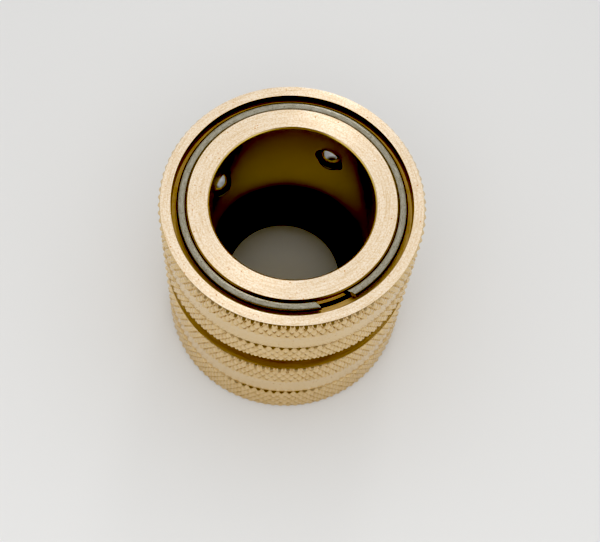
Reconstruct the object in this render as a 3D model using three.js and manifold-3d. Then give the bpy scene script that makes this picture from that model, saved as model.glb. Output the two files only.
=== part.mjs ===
// Quick disconnect coupler, hose side: a brass socket that a plug clicks into.
// Millimetres, +Z up. The origin is the centre of the base's bottom face; the mating end is at the top.
import * as THREE from 'three';
import { mergeVertices } from 'three/addons/utils/BufferGeometryUtils.js';
import Module from 'manifold-3d';

const wasm = await Module();
wasm.setup();

// ---- Driving dimensions ----
const OUTER_R = 17;            // over the knurled bands of the sleeve and the base
const HEIGHT = 33.3;           // base's bottom face to the mating face
const BORE_R = 10.53;          // the plug slides in here
const NOSE_R = 13.6;           // outside of the tube that the sleeve slides on
const BALL_R = 2.1;
const BALL_COUNT = 4;
const BALL_DEPTH = 6;          // ball centres below the mating face
const BALL_REACH = 1.2;        // how far a ball stands into the bore at rest
const FIRST_BALL_ANGLE = 67;   // degrees round from +X
const SLEEVE_TRAVEL = 2.6;     // towards the base
const THREAD_PITCH = 2.209;    // 3/4 inch garden hose thread, 11.5 turns to the inch
const THREAD_MINOR_R = 12.2;
const THREAD_MAJOR_R = 13.6;

const CHAMFER_IN = 0.36;       // of every outer rim's chamfer, along the radius
const CHAMFER_DOWN = 0.65;     // and along the axis
const BAND_TOP_R = 16.35;      // a smooth band between two knurls is a slight cone from here
const BAND_END_R = 16.68;      // to here
const BAND_SHOULDER = 0.25;    // height of the short flank above it, and of the one below it
const RAMP_PAST_BALLS = 0.3;   // the release ramp ends this far below the ball centres
const RUNNING_GAP = 0.15;      // between the sleeve's locking land and the nose
const SEAT_GAP = 0.05;         // round a piece that rests in its seat

const BOTTOMING_GAP = 0.1;     // left under the skirt when the sleeve is drawn right back
const SKIRT_END = 19;          // below the mating face

const SEGMENTS = 60;           // facets round every turned piece

// Levels along the axis, all counted down from the mating face.
const DEPTH = {
  sleeveEnd: 12.7,
  sleeveBandTop: 4.1,
  sleeveBandEnd: 8.35,
  skirtEnd: SKIRT_END,
  baseTop: 16.5,
  baseBandTop: 22.1,
  baseBandEnd: 26.8,
  cupFloor: SKIRT_END + SLEEVE_TRAVEL + BOTTOMING_GAP,
  springShoulder: 9,
  ledge: 1.5,
  lipEnd: 1.85,
  rampEnd: BALL_DEPTH + RAMP_PAST_BALLS,
  ringGrooveTop: 0.3,
  ringGrooveEnd: 1.6,
  ringCentre: 0.8,
  plugSealTop: 18.65,
  webTop: 21.6,
  webEnd: 22.6,
  washerEnd: 24.85,
  pocketEnd: 25,
};

// Radii inside the sleeve and the base.
const COUNTERBORE_R = 15.3;    // open ring space round the snap ring
const LIP_R = 14.15;           // the sleeve's lip that the snap ring holds back
const RELEASE_R = 15;          // recess that lets the balls out
const RAMP_RISE = 0.55;        // radius gained per millimetre up the release ramp
const LAND_R = NOSE_R + RUNNING_GAP;
const SPRING_WIRE_R = 0.42;
const SPRING_R = 14.07;
const CHAMBER_R = 14.55;
const SKIRT_R = 15.05;
const CUP_R = 15.2;
const RING_WIRE_R = 0.68;
const RING_R = 14.02;
const RING_GROOVE_R = 13.22;
const RING_LIP_R = 13.46;      // the nose's low rim that keeps the snap ring in its groove
const RING_GAP_START = -71.3;  // degrees round from +X
const RING_GAP_END = -53.5;
const SEAL_SEAT_R = 12.3;
const PLUG_SEAL_R = 9;
const WEB_R = 9.6;
const WASHER_OUTER_R = 12.7;
const WASHER_INNER_R = 8;
const WASHER_SHIFT = 0.45;     // the loose washer has settled this far towards -X
const POCKET_R = 13.25;

const up = (depth) => HEIGHT - depth;

// ---- Materials ----
const material = (name, color, roughness, metalness) =>
  new THREE.MeshStandardMaterial({ name, color, roughness, metalness });
const brass = () => material('brass', 0xd9b25f, 0.32, 1);
const springSteel = () => material('spring_steel', 0xa9a79c, 0.35, 1);
const polishedSteel = () => material('polished_steel', 0xd8dadd, 0.08, 1);
const rubber = () => material('black_rubber', 0x1b1a18, 0.75, 0);

// ---- Shape helpers ----

// A turned solid from its half section: [radius, height] corners, walked anticlockwise.
function turned(corners) {
  const outline = [...corners, corners[0]].map(([radius, z]) => new THREE.Vector2(radius, z));
  const geometry = new THREE.LatheGeometry(outline, SEGMENTS);
  geometry.rotateX(Math.PI / 2);
  return geometry;
}

// A section swept round the axis. The section's x runs along the axis and its y runs outward from
// the sweep radius; rise(t) is the height gained after t turns.
function coiled(section, radius, turns, stepsPerTurn, startAngle, rise) {
  const steps = Math.round(turns * stepsPerTurn);
  const geometry = new THREE.ExtrudeGeometry(section, { depth: turns, steps, bevelEnabled: false });
  const position = geometry.attributes.position;
  for (let i = 0; i < position.count; i += 1) {
    const t = position.getZ(i);
    const angle = startAngle + t * 2 * Math.PI;
    const r = radius + position.getY(i);
    const z = position.getX(i) + rise(t);
    position.setXYZ(i, r * Math.cos(angle), r * Math.sin(angle), z);
  }
  return geometry;
}

// A round wire's section with the given number of sides.
function wireSection(radius, sides) {
  const points = [];
  for (let i = 0; i < sides; i += 1) {
    const angle = (i / sides) * 2 * Math.PI;
    points.push(new THREE.Vector2(radius * Math.cos(angle), radius * Math.sin(angle)));
  }
  return new THREE.Shape(points);
}

function merged(geometry) {
  const bare = geometry.clone();
  bare.deleteAttribute('normal');
  bare.deleteAttribute('uv');
  return mergeVertices(bare, 1e-4);
}

function toSolid(geometry) {
  const closed = merged(geometry);
  return new wasm.Manifold(new wasm.Mesh({
    numProp: 3,
    vertProperties: new Float32Array(closed.attributes.position.array),
    triVerts: new Uint32Array(closed.index.array),
  }));
}

function fromSolid(solid) {
  const mesh = solid.getMesh();
  const geometry = new THREE.BufferGeometry();
  geometry.setAttribute('position', new THREE.BufferAttribute(mesh.vertProperties, 3));
  geometry.setIndex(new THREE.BufferAttribute(mesh.triVerts, 1));
  geometry.computeVertexNormals();
  return geometry;
}

// The outline of a smooth band between two knurls, from its top level down.
const bandOutline = (top, end) => [
  [OUTER_R, up(top)],
  [BAND_TOP_R, up(top + BAND_SHOULDER)],
  [BAND_END_R, up(end - BAND_SHOULDER)],
  [OUTER_R, up(end)],
];

// ---- Coupler body: nose tube, spring cup and knurled base in one turned piece ----

function bodySection() {
  const lipChamfer = 0.22;
  const grooveFlank = 0.1;
  const mouthChamfer = 0.2;
  const threadMouth = 1.5;
  const threadEntryR = THREAD_MAJOR_R + 0.1;
  const outside = [
    [BORE_R + mouthChamfer, HEIGHT],
    [RING_LIP_R - lipChamfer, HEIGHT],
    [RING_LIP_R, up(lipChamfer)],
    [RING_LIP_R, up(DEPTH.ringGrooveTop)],
    [RING_GROOVE_R, up(DEPTH.ringGrooveTop + grooveFlank)],
    [RING_GROOVE_R, up(DEPTH.ringGrooveEnd - grooveFlank)],
    [NOSE_R, up(DEPTH.ringGrooveEnd)],
    [NOSE_R, up(DEPTH.cupFloor)],
    [CUP_R, up(DEPTH.cupFloor)],
    [CUP_R, up(DEPTH.baseTop)],
    [OUTER_R - CHAMFER_IN, up(DEPTH.baseTop)],
    [OUTER_R, up(DEPTH.baseTop + CHAMFER_DOWN)],
    ...bandOutline(DEPTH.baseBandTop, DEPTH.baseBandEnd),
    [OUTER_R, CHAMFER_DOWN],
    [OUTER_R - CHAMFER_IN, 0],
  ];
  const inside = [
    [threadEntryR, 0],
    [THREAD_MINOR_R, threadMouth],
    [THREAD_MINOR_R, up(DEPTH.pocketEnd)],
    [POCKET_R, up(DEPTH.pocketEnd)],
    [POCKET_R, up(DEPTH.webEnd)],
    [WEB_R, up(DEPTH.webEnd)],
    [WEB_R, up(DEPTH.webTop)],
    [SEAL_SEAT_R, up(DEPTH.webTop)],
    [SEAL_SEAT_R, up(DEPTH.plugSealTop)],
    [BORE_R, up(DEPTH.plugSealTop)],
    [BORE_R, up(mouthChamfer)],
  ];
  return [...outside, ...inside].reverse();
}

// The helical groove of the hose thread, as a solid to cut away.
function threadCutter() {
  const flankSlope = Math.tan(THREE.MathUtils.degToRad(30));
  const stepsPerTurn = 30;
  const rootHalf = 0.14;
  const overcut = 0.3;
  const depth = THREAD_MAJOR_R - THREAD_MINOR_R;
  const mouthHalf = rootHalf + (depth + overcut) * flankSlope;
  const section = new THREE.Shape([
    new THREE.Vector2(-mouthHalf, -overcut),
    new THREE.Vector2(mouthHalf, -overcut),
    new THREE.Vector2(rootHalf, depth),
    new THREE.Vector2(-rootHalf, depth),
  ]);
  const start = -THREAD_PITCH;
  const turns = (up(DEPTH.pocketEnd) - start) / THREAD_PITCH;
  const rise = (t) => start + THREAD_PITCH * t;
  return coiled(section, THREAD_MINOR_R, turns, stepsPerTurn, 0, rise);
}

const ballAngles = Array.from(
  { length: BALL_COUNT },
  (_, i) => THREE.MathUtils.degToRad(FIRST_BALL_ANGLE + (i * 360) / BALL_COUNT),
);

// A ball hole narrows towards the bore, so that the ball can't fall through.
function ballHole(angle) {
  const mouthR = BALL_R - 0.04;
  const outsideR = BALL_R + 0.3;
  const wall = NOSE_R - BORE_R;
  const overcut = 0.6;
  const facets = 24;
  const taper = (outsideR - mouthR) / wall;
  const hole = new THREE.CylinderGeometry(
    outsideR + taper * overcut,
    mouthR - taper * overcut,
    wall + 2 * overcut,
    facets,
  );
  hole.rotateZ(-Math.PI / 2);
  hole.translate((NOSE_R + BORE_R) / 2, 0, up(BALL_DEPTH));
  hole.rotateZ(angle);
  return hole;
}

function couplerBody() {
  let solid = toSolid(turned(bodySection()));
  solid = solid.subtract(toSolid(threadCutter()));
  for (const angle of ballAngles) {
    solid = solid.subtract(toSolid(ballHole(angle)));
  }
  return new THREE.Mesh(fromSolid(solid), brass());
}

// ---- Sleeve: knurled collar with a skirt that runs into the base's cup ----

function sleeve() {
  const rampTop = DEPTH.rampEnd - (RELEASE_R - LAND_R) / RAMP_RISE;
  const outside = [
    [COUNTERBORE_R, HEIGHT],
    [OUTER_R - CHAMFER_IN, HEIGHT],
    [OUTER_R, up(CHAMFER_DOWN)],
    ...bandOutline(DEPTH.sleeveBandTop, DEPTH.sleeveBandEnd),
    [OUTER_R, up(DEPTH.sleeveEnd)],
    [SKIRT_R, up(DEPTH.sleeveEnd)],
    [SKIRT_R, up(DEPTH.skirtEnd)],
  ];
  const inside = [
    [CHAMBER_R, up(DEPTH.skirtEnd)],
    [CHAMBER_R, up(DEPTH.springShoulder)],
    [LAND_R, up(DEPTH.springShoulder)],
    [LAND_R, up(DEPTH.rampEnd)],
    [RELEASE_R, up(rampTop)],
    [RELEASE_R, up(DEPTH.lipEnd)],
    [LIP_R, up(DEPTH.lipEnd)],
    [LIP_R, up(DEPTH.ledge)],
    [COUNTERBORE_R, up(DEPTH.ledge)],
  ];
  return new THREE.Mesh(turned([...outside, ...inside].reverse()), brass());
}

// ---- Snap ring: a split round wire in the nose's groove, which keeps the sleeve on ----

function snapRing() {
  const start = THREE.MathUtils.degToRad(RING_GAP_END);
  const turns = (360 - (RING_GAP_END - RING_GAP_START)) / 360;
  const sides = 10;
  const stepsPerTurn = 48;
  const ring = coiled(wireSection(RING_WIRE_R, sides), RING_R, turns, stepsPerTurn, start, () => 0);
  const mesh = new THREE.Mesh(ring, springSteel());
  mesh.position.z = up(DEPTH.ringCentre);
  return mesh;
}

// ---- Release spring: pushes the sleeve towards the mating end ----

function releaseSpring() {
  const turns = 7;
  const sides = 6;
  const stepsPerTurn = 30;
  const endTurns = 0.9;           // closed turns at each end
  const closedPitch = 2 * SPRING_WIRE_R + SEAT_GAP;
  const low = up(DEPTH.cupFloor) + SEAT_GAP + SPRING_WIRE_R;
  const high = up(DEPTH.springShoulder) - SEAT_GAP - SPRING_WIRE_R;
  const openPitch = (high - low - 2 * endTurns * closedPitch) / (turns - 2 * endTurns);
  const rise = (t) => {
    const lowPart = Math.min(t, endTurns) * closedPitch;
    const openPart = Math.min(Math.max(t - endTurns, 0), turns - 2 * endTurns) * openPitch;
    const highPart = Math.max(t - (turns - endTurns), 0) * closedPitch;
    return lowPart + openPart + highPart;
  };
  const coil = coiled(wireSection(SPRING_WIRE_R, sides), SPRING_R, turns, stepsPerTurn, 0, rise);
  const mesh = new THREE.Mesh(coil, springSteel());
  mesh.position.z = low;
  return mesh;
}

// ---- Locking balls ----

function lockingBall(angle) {
  const subdivisions = 3;
  const sphere = new THREE.IcosahedronGeometry(BALL_R, subdivisions);
  const mesh = new THREE.Mesh(sphere, polishedSteel());
  const centreR = BORE_R - BALL_REACH + BALL_R;
  mesh.position.set(centreR * Math.cos(angle), centreR * Math.sin(angle), up(BALL_DEPTH));
  return mesh;
}

// ---- Rubber seals ----

// The ring that seals on the plug, with a lip that the water pressure opens.
function plugSeal() {
  const top = up(DEPTH.plugSealTop) - SEAT_GAP;
  const bottom = up(DEPTH.webTop) + SEAT_GAP;
  const outerR = SEAL_SEAT_R - SEAT_GAP;
  const bevel = 0.4;
  const lipWidth = 0.9;
  const lipDrop = 0.6;
  const section = [
    [PLUG_SEAL_R, bottom + bevel],
    [PLUG_SEAL_R + bevel, bottom],
    [outerR, bottom],
    [outerR, top],
    [PLUG_SEAL_R + lipWidth, top],
    [PLUG_SEAL_R, top - lipDrop],
  ];
  return new THREE.Mesh(turned(section), rubber());
}

// The flat washer that a hose fitting is screwed down on.
function hoseWasher() {
  const top = up(DEPTH.webEnd) - SEAT_GAP;
  const bottom = up(DEPTH.washerEnd);
  const section = [
    [WASHER_INNER_R, bottom],
    [WASHER_OUTER_R, bottom],
    [WASHER_OUTER_R, top],
    [WASHER_INNER_R, top],
  ];
  const mesh = new THREE.Mesh(turned(section), rubber());
  mesh.position.x = -WASHER_SHIFT;
  return mesh;
}

// ---- Assembly ----

const coupler = new THREE.Group();

function add(name, mesh) {
  mesh.name = name;
  coupler.add(mesh);
}

add('coupler_body', couplerBody());
add('sleeve', sleeve());
add('release_spring', releaseSpring());
add('snap_ring', snapRing());
ballAngles.forEach((angle, i) => add(`ball_${i + 1}`, lockingBall(angle)));
add('plug_seal', plugSeal());
add('hose_washer', hoseWasher());

export default coupler;
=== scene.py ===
"""Looks of the quick disconnect coupler: turned and knurled brass, spring wire, bearing balls, rubber."""
import math

import bmesh
import bpy
import numpy as np
from mathutils import Matrix, Vector


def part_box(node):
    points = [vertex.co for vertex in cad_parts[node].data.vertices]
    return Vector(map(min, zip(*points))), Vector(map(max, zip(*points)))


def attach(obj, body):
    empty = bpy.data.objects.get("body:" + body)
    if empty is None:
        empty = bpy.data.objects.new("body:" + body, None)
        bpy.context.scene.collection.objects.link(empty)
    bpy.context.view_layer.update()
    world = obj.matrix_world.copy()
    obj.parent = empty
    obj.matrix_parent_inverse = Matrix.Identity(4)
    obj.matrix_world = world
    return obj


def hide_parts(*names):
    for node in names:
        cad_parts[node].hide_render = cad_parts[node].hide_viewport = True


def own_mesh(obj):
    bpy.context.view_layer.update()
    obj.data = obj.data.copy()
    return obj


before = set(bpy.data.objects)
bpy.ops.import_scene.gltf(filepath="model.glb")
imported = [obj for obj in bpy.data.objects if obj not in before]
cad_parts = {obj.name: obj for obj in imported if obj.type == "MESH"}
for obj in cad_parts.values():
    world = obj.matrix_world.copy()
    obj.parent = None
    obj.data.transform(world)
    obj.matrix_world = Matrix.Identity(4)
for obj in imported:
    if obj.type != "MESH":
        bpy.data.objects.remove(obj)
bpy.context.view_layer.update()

# ---- Sizes, in millimetres ----
# The frame gives the outer sizes and places. The rest are the CAD's own inner dimensions.
MM = 0.001


def box_mm(node):
    low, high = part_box(node)
    return low / MM, high / MM


BODY_LOW, BODY_HIGH = box_mm("coupler_body")
SLEEVE_LOW = box_mm("sleeve")[0]
RING_LOW, RING_HIGH = box_mm("snap_ring")
SPRING_LOW, SPRING_HIGH = box_mm("release_spring")
SEAL_LOW, SEAL_HIGH = box_mm("plug_seal")
WASHER_LOW, WASHER_HIGH = box_mm("hose_washer")

SEAT_GAP = 0.05                # round a piece that rests in its seat
RUNNING_GAP = 0.15             # between the sleeve's locking land and the nose

TOP = BODY_HIGH.z
OUTER_R = BODY_HIGH.x
BORE_R = 10.53
NOSE_R = 13.6
NOSE_FACE_R = 13.24
RING_LIP_R = 13.46
RING_GROOVE_R = 13.22
CUP_R = 15.2
SEAL_SEAT_R = SEAL_HIGH.x + SEAT_GAP
WEB_R = 9.6
POCKET_R = 13.25
THREAD_MINOR_R = 12.2
THREAD_MAJOR_R = 13.6
THREAD_PITCH = 2.209
COUNTERBORE_R = 15.3
LIP_R = 14.15
RELEASE_R = 15
LAND_R = NOSE_R + RUNNING_GAP
CHAMBER_R = 14.55
SKIRT_R = 15.05
CHAMFER_IN = 0.36
CHAMFER_DOWN = 0.65
BAND_TOP_R = 16.35             # a smooth band is a slight cone from here
BAND_END_R = 16.68             # to here
BAND_STEP = 0.25               # height of the short flank above it, and of the one below it

# Levels counted down from the mating face.
SLEEVE_BAND = (4.1, 8.35)
SLEEVE_END = 12.7
SPRING_SHOULDER = TOP - SPRING_HIGH.z - SEAT_GAP
LEDGE = 1.5
LIP_END = 1.85
RAMP_TOP = 4.03
RAMP_END = 6.3
BASE_TOP = 16.5
BASE_BAND = (22.1, 26.8)
CUP_FLOOR = TOP - SPRING_LOW.z + SEAT_GAP
RING_GROOVE = (0.3, 1.6)
SEAL_TOP = 18.65
WEB = (21.6, 22.6)
POCKET_END = 25

MOUTH_CHAMFER = 0.2            # at the bore's upper edge
GROOVE_FLANK = 0.1             # slope at both sides of the snap ring's groove
THREAD_MOUTH = 1.5             # height of the taper that leads into the hose thread
RING_GAP = (-71.3, -53.5)      # between the snap ring's ends, in degrees round from +X

# Diamond knurl.
TEETH = 96
TOOTH_DEPTH = 0.4
DIAMOND = 2.4                  # height of a diamond in the upper knurl of the sleeve and of the base
LOW_DIAMOND = 2.05             # and in the lower knurl of each
STEPS_PER_TOOTH = 8            # facets are creased on this grid, so it stays a multiple of four

TURN_SEGMENTS = 384
SMOOTH_ANGLE = math.radians(26)

rng = np.random.default_rng(7)


def up(depth):
    return TOP - depth


# ---- Mesh helpers ----

def link(name, vertices, faces):
    """A mesh object from vertices in millimetres."""
    mesh = bpy.data.meshes.new(name)
    mesh.from_pydata((np.asarray(vertices, float) * MM).tolist(), [], [list(f) for f in faces])
    mesh.update()
    obj = bpy.data.objects.new(name, mesh)
    bpy.context.scene.collection.objects.link(obj)
    return obj


def rounded(corners, radius=0.06, steps=3):
    """The closed outline with each corner (r, z) or (r, z, own radius) turned into a small arc."""
    points = []
    count = len(corners)
    for i, corner in enumerate(corners):
        here = np.array(corner[:2], float)
        before = np.array(corners[i - 1][:2], float) - here
        after = np.array(corners[(i + 1) % count][:2], float) - here
        size = corner[2] if len(corner) > 2 else radius
        len_a, len_b = np.linalg.norm(before), np.linalg.norm(after)
        before, after = before / len_a, after / len_b
        half = math.acos(max(-1.0, min(1.0, float(before @ after)))) / 2
        reach = min(size / max(math.tan(half), 1e-3), 0.45 * len_a, 0.45 * len_b)
        if size <= 0 or half > math.radians(88):
            points.append(here)
            continue
        start, end = here + before * reach, here + after * reach
        for k in range(steps + 1):
            t = k / steps
            points.append((1 - t) ** 2 * start + 2 * t * (1 - t) * here + t ** 2 * end)
    return points


def turned(name, outline, segments=TURN_SEGMENTS, centre_x=0.0):
    """A solid of revolution about Z from a closed outline of (r, z) points, walked anticlockwise."""
    outline = np.asarray(outline, float)
    angles = np.arange(segments) * 2 * math.pi / segments
    x = centre_x + np.outer(np.cos(angles), outline[:, 0])
    y = np.outer(np.sin(angles), outline[:, 0])
    z = np.tile(outline[:, 1], (segments, 1))
    vertices = np.stack([x, y, z], -1).reshape(-1, 3)
    n = len(outline)
    faces = []
    for s in range(segments):
        a, b = s * n, ((s + 1) % segments) * n
        for i in range(n):
            j = (i + 1) % n
            faces.append((a + i, b + i, b + j, a + j))
    return link(name, vertices, faces)


def tube_faces(count, sides):
    """Both end caps and the walls of a tube of count rings with the given number of sides."""
    last = count - 1
    faces = [tuple(range(sides)), tuple(last * sides + i for i in reversed(range(sides)))]
    for k in range(last):
        for i in range(sides):
            j = (i + 1) % sides
            a = k * sides
            faces.append((a + j, a + i, a + sides + i, a + sides + j))
    return faces


def swept(name, section, angles, centre):
    """A section swept through the angles. section(k) and centre(k) are for the k-th angle: section gives
    (outward, upward) offsets, centre gives (radius, height)."""
    rings = []
    for k, angle in enumerate(angles):
        radius, height = centre(k)
        for out, rise in section(k):
            r = radius + out
            rings.append((r * math.cos(angle), r * math.sin(angle), height + rise))
    return link(name, rings, tube_faces(len(angles), len(section(0))))


def circle(radius, sides):
    """A round section as (outward, upward) offsets, clockwise seen from the sweep's start."""
    return [
        (radius * math.cos(-2 * math.pi * i / sides), radius * math.sin(-2 * math.pi * i / sides))
        for i in range(sides)
    ]


def ridge(steps):
    """Height of one set of ridges, from 0 in its grooves to 1 on its crests, with slightly worn tips."""
    part = np.mod(steps, STEPS_PER_TOOTH)
    part = np.minimum(part, STEPS_PER_TOOTH - part) * 2 / STEPS_PER_TOOTH
    return np.interp(part, [0, 0.25, 0.5, 0.75, 1], [0, 0.33, 0.64, 0.88, 1])


def knurl_rows(low, high, diamond, phase_turns, phase_level):
    """Levels, radii and the two ridge heights of a diamond knurl from low to high. Its grooves cross
    phase_turns of a tooth round from -Y at the level phase_level, and again one diamond higher."""
    row_height = diamond / STEPS_PER_TOOTH
    first = math.floor((low - phase_level) / row_height)
    last = math.ceil((high - phase_level) / row_height)
    row_steps = np.arange(first, last + 1)
    turn_steps = np.arange(TEETH * STEPS_PER_TOOTH) - phase_turns * STEPS_PER_TOOTH
    turn_steps = np.round(turn_steps)
    turn, row = np.meshgrid(turn_steps, row_steps)
    right_hand, left_hand = ridge(turn + row), ridge(turn - row)
    height = np.minimum(right_hand, left_hand)
    wear = 0.02 * np.abs(rng.standard_normal(height.shape)) * (height > 0.5)
    radius = OUTER_R - TOOTH_DEPTH * (1 - height) - wear
    return phase_level + row_steps * row_height, radius, right_hand, left_hand


def knurled_bar(low, high, knurls):
    """A solid bar from low to high with the given knurls, lowest first, and plain beyond them."""
    columns = TEETH * STEPS_PER_TOOTH
    parts = [knurl_rows(*knurl) for knurl in knurls]
    bottom, top = parts[0][0][0], parts[-1][0][-1]
    step = 0.05
    levels = np.concatenate([[low, bottom - step], *(part[0] for part in parts), [top + step, high]])
    plain = np.full((2, columns), OUTER_R - TOOTH_DEPTH - 0.2)
    radii, rights, lefts = (
        np.vstack([plain, *(part[kind] for part in parts), plain]) for kind in (1, 2, 3)
    )
    angle = -math.pi / 2 + np.arange(columns) / STEPS_PER_TOOTH * 2 * math.pi / TEETH
    z = np.repeat(levels[:, None], columns, 1)
    vertices = np.stack([radii * np.cos(angle), radii * np.sin(angle), z], -1).reshape(-1, 3)
    rows = len(levels)
    faces = [tuple(reversed(range(columns))), tuple((rows - 1) * columns + c for c in range(columns))]
    for r in range(rows - 1):
        for c in range(columns):
            d = (c + 1) % columns
            a, b = r * columns + c, r * columns + d
            e, f = b + columns, a + columns
            right_rules = rights[r, c] + rights[r + 1, d] < lefts[r, d] + lefts[r + 1, c]
            faces += [(a, b, f), (b, e, f)] if right_rules else [(a, b, e), (a, e, f)]
    return link("bar", vertices, faces)


def combine(obj, tool, operation):
    """Cuts or intersects obj with tool, and removes tool."""
    modifier = obj.modifiers.new("cut", "BOOLEAN")
    modifier.operation = operation
    modifier.solver = "MANIFOLD"
    modifier.object = tool
    result = obj.evaluated_get(bpy.context.evaluated_depsgraph_get())
    mesh = bpy.data.meshes.new_from_object(result)
    obj.modifiers.clear()
    obj.data = mesh
    bpy.data.objects.remove(tool)


def finish_mesh(obj, material, body, slot, *nodes, angle=SMOOTH_ANGLE):
    """Smooth shading with sharp machined edges, the material, and the body that the piece rides on."""
    obj.data.shade_smooth()
    obj.data.set_sharp_from_angle(angle=angle)
    obj.data.materials.clear()
    obj.data.materials.append(material)
    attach(obj, body)
    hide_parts(*nodes)


# ---- Node helpers ----

class Graph:
    """A short way to write a node tree."""

    def __init__(self, tree):
        self.tree = tree
        tree.nodes.clear()

    def node(self, kind, settings=None, **inputs):
        made = self.tree.nodes.new(kind)
        for key, value in (settings or {}).items():
            setattr(made, key, value)
        for key, value in inputs.items():
            self.put(made, key.replace("_", " "), value)
        return made

    def put(self, made, key, value):
        socket = made.inputs[int(key)] if key.isdigit() else made.inputs[key]
        if isinstance(value, bpy.types.NodeSocket):
            self.tree.links.new(value, socket)
        else:
            socket.default_value = value

    def math(self, operation, *values):
        made = self.node("ShaderNodeMath", {"operation": operation})
        for index, value in enumerate(values):
            self.put(made, str(index), value)
        return made.outputs[0]

    def combine(self, x, y, z):
        return self.node("ShaderNodeCombineXYZ", X=x, Y=y, Z=z).outputs[0]

    def noise(self, vector, scale, detail=2.0, rough=0.5, w=None):
        made = self.node("ShaderNodeTexNoise", {"noise_dimensions": "3D" if w is None else "4D"},
                         Vector=vector, Scale=scale, Detail=detail, Roughness=rough)
        if w is not None:
            self.put(made, "W", w)
        return made.outputs["Fac"]

    def ramp(self, factor, *stops):
        made = self.node("ShaderNodeValToRGB", Fac=factor)
        elements = made.color_ramp.elements
        while len(elements) < len(stops):
            elements.new(0.5)
        for element, (position, color) in zip(elements, stops):
            element.position = position
            element.color = (*color, 1)
        return made.outputs["Color"]

    def mix(self, factor, a, b, blend="MIX"):
        made = self.node("ShaderNodeMix", {"data_type": "RGBA", "blend_type": blend})
        for index, value in ((0, factor), (6, a), (7, b)):
            if isinstance(value, bpy.types.NodeSocket):
                self.tree.links.new(value, made.inputs[index])
            else:
                made.inputs[index].default_value = value if index == 0 else (*value, 1)
        return made.outputs[2]

    def bump(self, height, strength, distance):
        return self.node("ShaderNodeBump", Strength=strength, Distance=distance, Height=height).outputs[0]

    def position(self):
        """Object position in millimetres, split into x, y, z and the distance from the axis."""
        place = self.node("ShaderNodeTexCoord").outputs["Object"]
        scaled = self.node("ShaderNodeVectorMath", {"operation": "SCALE"})
        self.tree.links.new(place, scaled.inputs[0])
        scaled.inputs["Scale"].default_value = 1 / MM
        split = self.node("ShaderNodeSeparateXYZ", Vector=scaled.outputs[0])
        x, y, z = split.outputs
        squares = self.math("MULTIPLY", x, x), self.math("MULTIPLY", y, y)
        radius = self.math("SQRT", self.math("ADD", *squares))
        return scaled.outputs[0], x, y, z, radius


def new_material(name):
    material = bpy.data.materials.new(name)
    material.use_nodes = True
    return material, Graph(material.node_tree)


def close(graph, **inputs):
    """Ends a material's tree with a shader that takes the given inputs."""
    shader = graph.node("ShaderNodeBsdfPrincipled")
    for key, value in inputs.items():
        graph.put(shader, key.replace("_", " "), value)
    output = graph.node("ShaderNodeOutputMaterial")
    graph.tree.links.new(shader.outputs[0], output.inputs[0])


# ---- Materials ----

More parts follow.
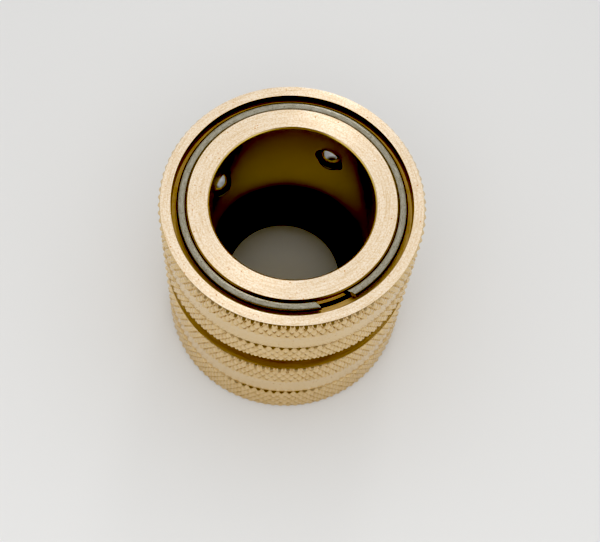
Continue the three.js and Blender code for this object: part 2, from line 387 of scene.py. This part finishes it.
def brass():
    """Bare turned brass: golden sides, lathe-marked end faces painted pale as a painted highlight,
    painted shade in creases, dark brown painted shade in the inner recesses, and a deeper gold painted in
    the bore for light bounced inside it.
    """
    material, g = new_material("brass")
    place, x, y, z, radius = g.position()
    across, along = 7.0, 0.3       # scale of the lathe lines across them and along them
    rings = g.combine(
        g.math("MULTIPLY", radius, across),
        g.math("MULTIPLY", z, across),
        g.math("MULTIPLY", x, along),
    )
    lathe_lines = g.noise(rings, 1.0, detail=4.0, rough=0.7, w=g.math("MULTIPLY", y, along))
    cloud = g.noise(place, 0.35, detail=3.0)
    grain = g.noise(place, 4.5, detail=3.0, rough=0.7)
    pits = g.node("ShaderNodeTexVoronoi", {"feature": "F1"}, Vector=place, Scale=1.4, Randomness=1.0)
    pit_mask = g.ramp(pits.outputs["Distance"], (0.0, (1, 1, 1)), (0.09, (1, 1, 1)), (0.17, (0, 0, 0)))
    few = g.ramp(g.noise(place, 0.9, detail=1.0), (0.46, (0, 0, 0)), (0.56, (1, 1, 1)))
    pit_mask = g.math("MULTIPLY", pit_mask, few)

    true_normal = g.node("ShaderNodeNewGeometry").outputs["True Normal"]
    facing = g.node("ShaderNodeSeparateXYZ", Vector=true_normal)
    end_face = g.math("GREATER_THAN", g.math("ABSOLUTE", facing.outputs[2]), 0.98)
    in_bore = g.math("LESS_THAN", radius, BORE_R + 0.1)
    in_channel = g.math("MULTIPLY", g.math("GREATER_THAN", radius, NOSE_FACE_R + 0.02),
                        g.math("LESS_THAN", radius, COUNTERBORE_R + 0.05))
    in_gap = g.math("MULTIPLY", g.math("GREATER_THAN", z, up(BASE_TOP) - 0.02),
                    g.math("LESS_THAN", z, up(SLEEVE_END) + 0.02))
    hidden = g.math("MAXIMUM", in_channel, in_gap)
    # Painted shade: creases and recesses, found by ambient occlusion, are painted dark brown, more
    # strongly in some patches than others.
    corners = g.node("ShaderNodeAmbientOcclusion", {"samples": 6}, Distance=0.7 * MM).outputs["AO"]
    crease_shade = g.ramp(corners, (0.5, (1, 1, 1)), (0.95, (0, 0, 0)))

    base = g.ramp(cloud, (0.3, (0.79, 0.605, 0.34)), (0.7, (0.83, 0.65, 0.39)))
    # Painted highlight: faces across the axis are painted pale, standing in for the bright overhead light
    # they reflect.
    base = g.mix(end_face, base, (0.99, 0.855, 0.69))
    dark_grain = g.ramp(grain, (0.44, (0, 0, 0)), (0.62, (0.75, 0.75, 0.75)))
    base = g.mix(dark_grain, base, (0.80, 0.57, 0.30))
    dark_lines = g.ramp(lathe_lines, (0.48, (0, 0, 0)), (0.64, (0.7, 0.7, 0.7)))
    base = g.mix(dark_lines, base, (0.76, 0.55, 0.31))
    base = g.mix(g.math("MULTIPLY", pit_mask, 0.9), base, (0.60, 0.26, 0.05))
    patches = g.noise(place, 1.1, detail=3.0, rough=0.65)
    shade_patches = g.ramp(patches, (0.42, (0.25, 0.25, 0.25)), (0.6, (1, 1, 1)))
    base = g.mix(g.math("MULTIPLY", crease_shade, shade_patches), base, (0.45, 0.26, 0.06))
    # Painted shade: the snap ring's channel and the gap under the sleeve are painted dark brown, with
    # walls darker than faces across the axis.
    shaded_wall = g.ramp(lathe_lines, (0.4, (0.16, 0.08, 0.01)), (0.62, (0.38, 0.22, 0.05)))
    shaded_face = g.ramp(lathe_lines, (0.4, (0.34, 0.19, 0.03)), (0.62, (0.60, 0.38, 0.12)))
    base = g.mix(g.math("MULTIPLY", hidden, 0.9), base, g.mix(end_face, shaded_wall, shaded_face))
    # Painted reflection: the bore is painted a deeper, more saturated gold that stands in for light
    # bounced round inside it.
    base = g.mix(in_bore, base, (0.93, 0.68, 0.18))

    lined = g.math("MULTIPLY", lathe_lines, g.math("MULTIPLY_ADD", end_face, 0.10, 0.04))
    rough = g.math("ADD", lined, g.math("MULTIPLY_ADD", end_face, 0.17, 0.11))
    rough = g.math("MULTIPLY_ADD", in_bore, 0.07, rough)
    spread = g.math("MULTIPLY_ADD", g.math("MAXIMUM", end_face, in_bore), 0.6, 0.3)
    height = g.math("SUBTRACT", g.math("ADD", lathe_lines, g.math("MULTIPLY", grain, 0.5)), pit_mask)
    normal = g.bump(height, 0.5, 0.025 * MM)
    tangent = g.node("ShaderNodeTangent", {"direction_type": "RADIAL", "axis": "Z"}).outputs[0]
    close(
        g,
        Base_Color=base,
        Metallic=1.0,
        Roughness=rough,
        Anisotropic=spread,
        Anisotropic_Rotation=0.25,
        Tangent=tangent,
        Normal=normal,
    )
    return material


def spring_wire():
    """Drawn spring wire: satin grey steel with dark drawing marks along it and a little oil."""
    material, g = new_material("spring_wire")
    place, x, y, z, radius = g.position()
    across, along = 7.0, 1.2       # scale of the drawing marks across them and along them
    drawn = g.combine(
        g.math("MULTIPLY", radius, across),
        g.math("MULTIPLY", z, across),
        g.math("MULTIPLY", x, along),
    )
    streaks = g.noise(drawn, 1.0, detail=4.0, rough=0.7, w=g.math("MULTIPLY", y, along))
    spots = g.noise(place, 5.0, detail=4.0, rough=0.75)
    base = g.ramp(
        streaks,
        (0.3, (0.23, 0.205, 0.15)),
        (0.5, (0.34, 0.315, 0.25)),
        (0.7, (0.45, 0.425, 0.36)),
    )
    base = g.mix(g.ramp(spots, (0.54, (0, 0, 0)), (0.66, (0.8, 0.8, 0.8))), base, (0.09, 0.075, 0.05))
    rough = g.math("MULTIPLY_ADD", spots, 0.2, 0.16)
    normal = g.bump(streaks, 0.25, 0.01 * MM)
    close(g, Base_Color=base, Metallic=1.0, Roughness=rough, Normal=normal)
    return material


def bearing_steel():
    """Polished chrome steel with faint smears."""
    material, g = new_material("bearing_steel")
    place = g.position()[0]
    smear = g.noise(place, 1.3, detail=4.0, rough=0.6)
    base = g.ramp(smear, (0.3, (0.26, 0.26, 0.26)), (0.7, (0.42, 0.42, 0.43)))
    rough = g.math("ADD", g.math("MULTIPLY", smear, 0.1), 0.02)
    close(g, Base_Color=base, Metallic=1.0, Roughness=rough)
    return material


def rubber():
    """Moulded black rubber: matte, finely grained, with a trace of dust."""
    material, g = new_material("rubber")
    place = g.position()[0]
    grain = g.noise(place, 16.0, detail=3.0, rough=0.6)
    bloom = g.noise(place, 0.8, detail=3.0)
    base = g.ramp(bloom, (0.3, (0.008, 0.008, 0.008)), (0.75, (0.022, 0.022, 0.021)))
    rough = g.math("ADD", g.math("MULTIPLY", grain, 0.2), 0.55)
    normal = g.bump(grain, 0.5, 0.03 * MM)
    close(g, Base_Color=base, Roughness=rough, Normal=normal)
    return material


BRASS, WIRE, STEEL, RUBBER = brass(), spring_wire(), bearing_steel(), rubber()


# ---- Pieces ----

def band(top, end):
    """A smooth band between two knurls, from its top down. Its ends lie past the knurls' crests."""
    past = 0.4
    step_slope = BAND_STEP / (OUTER_R - BAND_END_R)
    return [
        (OUTER_R + past, up(top), 0),
        (BAND_TOP_R, up(top + BAND_STEP), 0.05),
        (BAND_END_R, up(end - BAND_STEP), 0.02),
        (OUTER_R + past, up(end + past * step_slope), 0),
    ]


def past_chamfer():
    """Radius and depth where a rim's chamfer has run out past the knurl's crests."""
    run = 0.4
    return OUTER_R + run, CHAMFER_DOWN * (1 + run / CHAMFER_IN)


def build_sleeve():
    past, chamfer_past = past_chamfer()
    outline = rounded([
        (COUNTERBORE_R, TOP),
        (COUNTERBORE_R, up(LEDGE)),
        (LIP_R, up(LEDGE)),
        (LIP_R, up(LIP_END)),
        (RELEASE_R, up(LIP_END)),
        (RELEASE_R, up(RAMP_TOP)),
        (LAND_R, up(RAMP_END)),
        (LAND_R, up(SPRING_SHOULDER)),
        (CHAMBER_R, up(SPRING_SHOULDER)),
        (CHAMBER_R, SLEEVE_LOW.z),
        (SKIRT_R, SLEEVE_LOW.z),
        (SKIRT_R, up(SLEEVE_END)),
        (past, up(SLEEVE_END), 0),
        *reversed(band(*SLEEVE_BAND)),
        (past, up(chamfer_past), 0),
        (OUTER_R - CHAMFER_IN, TOP, 0.03),
    ])
    sleeve = turned("sleeve_shell", outline)
    middle = up((SLEEVE_BAND[0] + SLEEVE_BAND[1]) / 2)
    bar = knurled_bar(SLEEVE_LOW.z - 1, TOP + 2, [
        (up(SLEEVE_END + 0.4), middle - 1, LOW_DIAMOND, 0.61, up(9.05)),
        (middle + 1, TOP + 0.5, DIAMOND, 0.61, up(0.5)),
    ])
    combine(sleeve, bar, "INTERSECT")
    finish_mesh(sleeve, BRASS, "sleeve", "brass", "sleeve")


def thread_cutter():
    """The helical groove of the hose thread, with a rounded root."""
    depth = THREAD_MAJOR_R - THREAD_MINOR_R
    overcut = 0.3
    flank = math.tan(math.radians(30))
    root_half = 0.14
    mouth_half = root_half + (depth + overcut) * flank
    section = [
        (-overcut, -mouth_half),
        (-overcut, mouth_half),
        (depth - 0.12, root_half + 0.12 * flank),
        (depth, root_half * 0.5),
        (depth, -root_half * 0.5),
        (depth - 0.12, -root_half - 0.12 * flank),
    ]
    start = -THREAD_PITCH
    turns = (up(POCKET_END) - start) / THREAD_PITCH
    angles = np.linspace(0, turns * 2 * math.pi, int(turns * 96))
    rise = THREAD_PITCH / (2 * math.pi)

    def centre(k):
        return THREAD_MINOR_R, start + rise * angles[k]

    return swept("thread", lambda k: section, angles, centre)


def ball_places():
    """Centre of each locking ball, in millimetres."""
    places = []
    for index in range(1, 5):
        low, high = box_mm(f"ball_{index}")
        places.append(((low + high) / 2, (high.z - low.z) / 2))
    return places


def ball_hole(centre, radius):
    """A cutter that narrows towards the bore, so that the ball can't fall through."""
    angle = math.atan2(centre.y, centre.x)
    mouth_r, outside_r = radius - 0.04, radius + 0.3
    taper = (outside_r - mouth_r) / (NOSE_R - BORE_R)
    overcut = 0.6
    near, far = BORE_R - overcut, NOSE_R + overcut
    sides = 96
    rings = [(near, mouth_r - taper * overcut), (far, outside_r + taper * overcut)]
    vertices = []
    for out, r in rings:
        for i in range(sides):
            turn = 2 * math.pi * i / sides
            across, height = r * math.cos(turn), r * math.sin(turn)
            vertices.append((
                out * math.cos(angle) - across * math.sin(angle),
                out * math.sin(angle) + across * math.cos(angle),
                centre.z + height,
            ))
    faces = [tuple(reversed(range(sides))), tuple(range(sides, 2 * sides))]
    faces += [(i, (i + 1) % sides, sides + (i + 1) % sides, sides + i) for i in range(sides)]
    return link("hole", vertices, faces)


def build_body():
    past, chamfer_past = past_chamfer()
    outline = rounded([
        (BORE_R + MOUTH_CHAMFER, TOP, 0.02),
        (BORE_R, up(MOUTH_CHAMFER), 0.04),
        (BORE_R, up(SEAL_TOP)),
        (SEAL_SEAT_R, up(SEAL_TOP)),
        (SEAL_SEAT_R, up(WEB[0])),
        (WEB_R, up(WEB[0])),
        (WEB_R, up(WEB[1])),
        (POCKET_R, up(WEB[1])),
        (POCKET_R, up(POCKET_END)),
        (THREAD_MINOR_R, up(POCKET_END), 0.15),
        (THREAD_MINOR_R, THREAD_MOUTH, 0.1),
        (THREAD_MAJOR_R + 0.1, 0),
        (OUTER_R - CHAMFER_IN, 0, 0.03),
        (past, chamfer_past, 0),
        *reversed(band(*BASE_BAND)),
        (past, up(BASE_TOP + chamfer_past), 0),
        (OUTER_R - CHAMFER_IN, up(BASE_TOP), 0.03),
        (CUP_R, up(BASE_TOP)),
        (CUP_R, up(CUP_FLOOR), 0.15),
        (NOSE_R, up(CUP_FLOOR), 0.15),
        (NOSE_R, up(RING_GROOVE[1])),
        (RING_GROOVE_R, up(RING_GROOVE[1] - GROOVE_FLANK), 0.1),
        (RING_GROOVE_R, up(RING_GROOVE[0] + GROOVE_FLANK), 0.1),
        (RING_LIP_R, up(RING_GROOVE[0]), 0.03),
        (RING_LIP_R, up(RING_LIP_R - NOSE_FACE_R), 0.03),
        (NOSE_FACE_R, TOP, 0.03),
    ])
    body = turned("body_shell", outline)
    middle = up((BASE_BAND[0] + BASE_BAND[1]) / 2)
    bar = knurled_bar(-2, TOP + 1, [
        (-0.5, middle - 1, LOW_DIAMOND, 0.1, up(27.7)),
        (middle + 1, up(BASE_TOP - 0.4), DIAMOND, 0.1, up(BASE_TOP + 0.5)),
    ])
    combine(body, bar, "INTERSECT")
    combine(body, thread_cutter(), "DIFFERENCE")
    for centre, radius in BALLS:
        combine(body, ball_hole(centre, radius), "DIFFERENCE")
    finish_mesh(body, BRASS, "body", "brass", "coupler_body")


def build_snap_ring():
    """A split wire ring with sheared, slightly slanted ends."""
    wire_r = (RING_HIGH.z - RING_LOW.z) / 2
    ring_r = RING_HIGH.x - wire_r
    height = (RING_HIGH.z + RING_LOW.z) / 2
    start, end = math.radians(RING_GAP[1]), math.radians(360 + RING_GAP[0])
    shear = math.radians(1.9)
    ends_round = 0.08
    angles = np.concatenate([[start, start], np.linspace(start, end, 420), [end, end]])
    angles[1] += ends_round / ring_r
    angles[-2] -= ends_round / ring_r
    angles = np.unique(angles)
    sides = 40
    rings = []
    last = len(angles) - 1
    for k, angle in enumerate(angles):
        r_wire = wire_r - (ends_round * 0.7 if k in (0, last) else 0)
        for out, rise in circle(r_wire, sides):
            near_end = math.exp(-min(angle - start, end - angle) / math.radians(2))
            turn = angle + shear * near_end * out / wire_r
            r = ring_r + out
            rings.append((r * math.cos(turn), r * math.sin(turn), height + rise))
    ring = link("snap_ring_wire", rings, tube_faces(len(angles), sides))
    finish_mesh(ring, WIRE, "ring", "spring_steel", "snap_ring", angle=math.radians(40))


def build_spring():
    """A compression spring with a closed, ground turn at each end."""
    wire_r, ground = 0.42, 0.15
    radius = 14.07
    turns, end_turns = 7, 0.9
    low, high = SPRING_LOW.z, SPRING_HIGH.z
    closed_rise = 2 * wire_r * end_turns
    open_rise = high - low + 2 * ground - 2 * wire_r - 2 * closed_rise
    angles = np.linspace(0, turns * 2 * math.pi, turns * 72)
    levels = np.interp(
        angles / (2 * math.pi),
        [0, end_turns, turns - end_turns, turns],
        [0, closed_rise, closed_rise + open_rise, 2 * closed_rise + open_rise],
    ) + low + wire_r - ground

    def section(k):
        return [
            (out, min(max(rise, low - levels[k]), high - levels[k]))
            for out, rise in circle(wire_r, 24)
        ]

    spring = swept("spring_coil", section, angles, lambda k: (radius, levels[k]))
    finish_mesh(spring, WIRE, "spring", "spring_steel", "release_spring", angle=math.radians(40))
    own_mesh(spring)


def build_ball(index, centre, radius):
    mesh = bpy.data.meshes.new(f"ball_{index}_steel")
    bm = bmesh.new()
    place = Matrix.Translation(centre * MM)
    bmesh.ops.create_icosphere(bm, subdivisions=6, radius=radius * MM, matrix=place)
    bm.to_mesh(mesh)
    bm.free()
    ball = bpy.data.objects.new(mesh.name, mesh)
    bpy.context.scene.collection.objects.link(ball)
    finish_mesh(ball, STEEL, f"ball_{index}", "polished_steel", f"ball_{index}", angle=math.pi)


def build_plug_seal():
    """The ring that seals on the plug, with a V-shaped groove behind its lip."""
    low, high, outer = SEAL_LOW.z, SEAL_HIGH.z, SEAL_HIGH.x
    inner = 9
    outline = rounded([
        (inner, low + 0.5, 0.2),
        (inner + 0.4, low, 0.2),
        (outer, low, 0.15),
        (outer, high, 0.15),
        (inner + 1.7, high, 0.1),
        (inner + 1.1, high - 0.9, 0.2),
        (inner + 0.7, high, 0.12),
        (inner, high - 0.5, 0.25),
    ], steps=5)
    seal = turned("plug_seal_lip", list(reversed(outline)), 192)
    finish_mesh(seal, RUBBER, "body", "rubber", "plug_seal", angle=math.radians(50))


def build_hose_washer():
    low, high = WASHER_LOW.z, WASHER_HIGH.z
    centre_x = (WASHER_LOW.x + WASHER_HIGH.x) / 2
    outer = (WASHER_HIGH.x - WASHER_LOW.x) / 2
    inner = 8
    outline = rounded([
        (inner, low, 0.18),
        (outer, low, 0.18),
        (outer, high, 0.18),
        (inner, high, 0.18),
    ], steps=5)
    washer = turned("hose_washer_ring", list(reversed(outline)), 192, centre_x)
    finish_mesh(washer, RUBBER, "body", "rubber", "hose_washer", angle=math.radians(50))


BALLS = ball_places()
build_sleeve()
build_body()
build_snap_ring()
build_spring()
for number, (middle, size) in enumerate(BALLS, 1):
    build_ball(number, middle, size)
build_plug_seal()
build_hose_washer()


# ---- Floor, light and camera ----

def build_floor():
    """A plain pale table. Mirror-like rays alone see its front part dark brown, as if a dark card lay
    there, which gives the front chamfers their brown reflection. The camera never sees that colour."""
    half = 1.5
    corners = [(-half, -half, 0), (half, -half, 0), (half, half, 0), (-half, half, 0)]
    mesh = bpy.data.meshes.new("floor")
    mesh.from_pydata(corners, [], [(0, 1, 2, 3)])
    floor = bpy.data.objects.new("floor", mesh)
    floor.location.z = BODY_LOW.z * MM
    bpy.context.scene.collection.objects.link(floor)
    material, g = new_material("pale_table")
    place = g.node("ShaderNodeTexCoord").outputs["Object"]
    towards_front = g.math("MULTIPLY", g.node("ShaderNodeSeparateXYZ", Vector=place).outputs[1], -1)
    far = g.ramp(towards_front, (0.06, (0, 0, 0)), (0.11, (1, 1, 1)))
    mirrored = g.node("ShaderNodeLightPath").outputs["Is Glossy Ray"]
    color = g.mix(g.math("MULTIPLY", far, mirrored), (0.76, 0.76, 0.755), (0.16, 0.11, 0.05))
    close(g, Base_Color=color, Roughness=0.6)
    floor.data.materials.append(material)


def area_light(name, place, target, width, depth, power):
    """A rectangular light at place, in metres, aimed at target."""
    light = bpy.data.lights.new(name, "AREA")
    light.shape = "RECTANGLE"
    light.size, light.size_y = width, depth
    light.energy = power
    lamp = bpy.data.objects.new(name, light)
    lamp.location = place
    direction = Vector(target) - Vector(place)
    lamp.rotation_euler = direction.to_track_quat("-Z", "Y").to_euler()
    bpy.context.scene.collection.objects.link(lamp)
    return lamp


def build_world():
    """A white tent: bright overhead, dimmer round the sides, and dark brown on the camera's side."""
    world = bpy.data.worlds.new("studio")
    bpy.context.scene.world = world
    world.use_nodes = True
    g = Graph(world.node_tree)
    direction = g.node("ShaderNodeTexCoord").outputs["Generated"]
    height = g.node("ShaderNodeSeparateXYZ", Vector=direction).outputs[2]
    sky = g.ramp(
        height,
        (0.0, (0.5, 0.5, 0.5)),
        (0.3, (0.62, 0.62, 0.62)),
        (0.75, (0.93, 0.93, 0.93)),
        (1.0, (1.0, 1.0, 1.0)),
    )
    towards_front = g.node("ShaderNodeVectorMath", {"operation": "DOT_PRODUCT"})
    g.tree.links.new(direction, towards_front.inputs[0])
    towards_front.inputs[1].default_value = Vector((0, -0.97, 0.2)).normalized()
    shade = g.ramp(towards_front.outputs["Value"], (0.74, (1, 1, 1)), (0.92, (0.16, 0.12, 0.07)))
    color = g.mix(1.0, sky, shade, "MULTIPLY")
    background = g.node("ShaderNodeBackground", Color=color, Strength=1.0)
    output = g.node("ShaderNodeOutputWorld")
    g.tree.links.new(background.outputs[0], output.inputs[0])


def build_camera():
    """The photograph's viewpoint, in units of the outer radius from the centre of the mating face."""
    elevation, roll = math.radians(67.25), math.radians(6.46)
    distance, shift_x, shift_y = 9.382, 0.0535, -0.5136
    forward = Vector((0, math.cos(elevation), -math.sin(elevation)))
    level_right, level_up = Vector((1, 0, 0)), Vector((0, math.sin(elevation), math.cos(elevation)))
    right = math.cos(roll) * level_right + math.sin(roll) * level_up
    upward = math.cos(roll) * level_up - math.sin(roll) * level_right
    place = -distance * forward + shift_x * right + shift_y * upward
    data = bpy.data.cameras.new("camera")
    data.sensor_width, data.lens = 36.0, 76.07
    data.clip_start = 0.005
    camera = bpy.data.objects.new("camera", data)
    turn = Matrix((right, upward, -forward)).transposed().to_4x4()
    centre = Vector((0, 0, TOP * MM))
    camera.matrix_world = Matrix.Translation(centre + place * OUTER_R * MM) @ turn
    bpy.context.scene.collection.objects.link(camera)
    bpy.context.scene.camera = camera


def grade():
    """Plain colours with the deepest shadows pulled down to black and the lightest lifted slightly."""
    view = bpy.context.scene.view_settings
    view.view_transform = "Standard"
    view.use_curve_mapping = True
    view.curve_mapping.black_level = (0.03, 0.03, 0.035)
    view.curve_mapping.white_level = (0.965, 0.965, 0.965)
    view.curve_mapping.update()


build_floor()
build_world()
area_light("back_strip", (0.06, 0.53, 0.46), (0.06, 0, 0.03), 0.12, 0.35, 0.22)
fill = area_light("fill", (0, -0.1, 0.17), (0, -0.035, 0), 0.12, 0.12, 0.085)
fill.visible_glossy = False
build_camera()
grade()
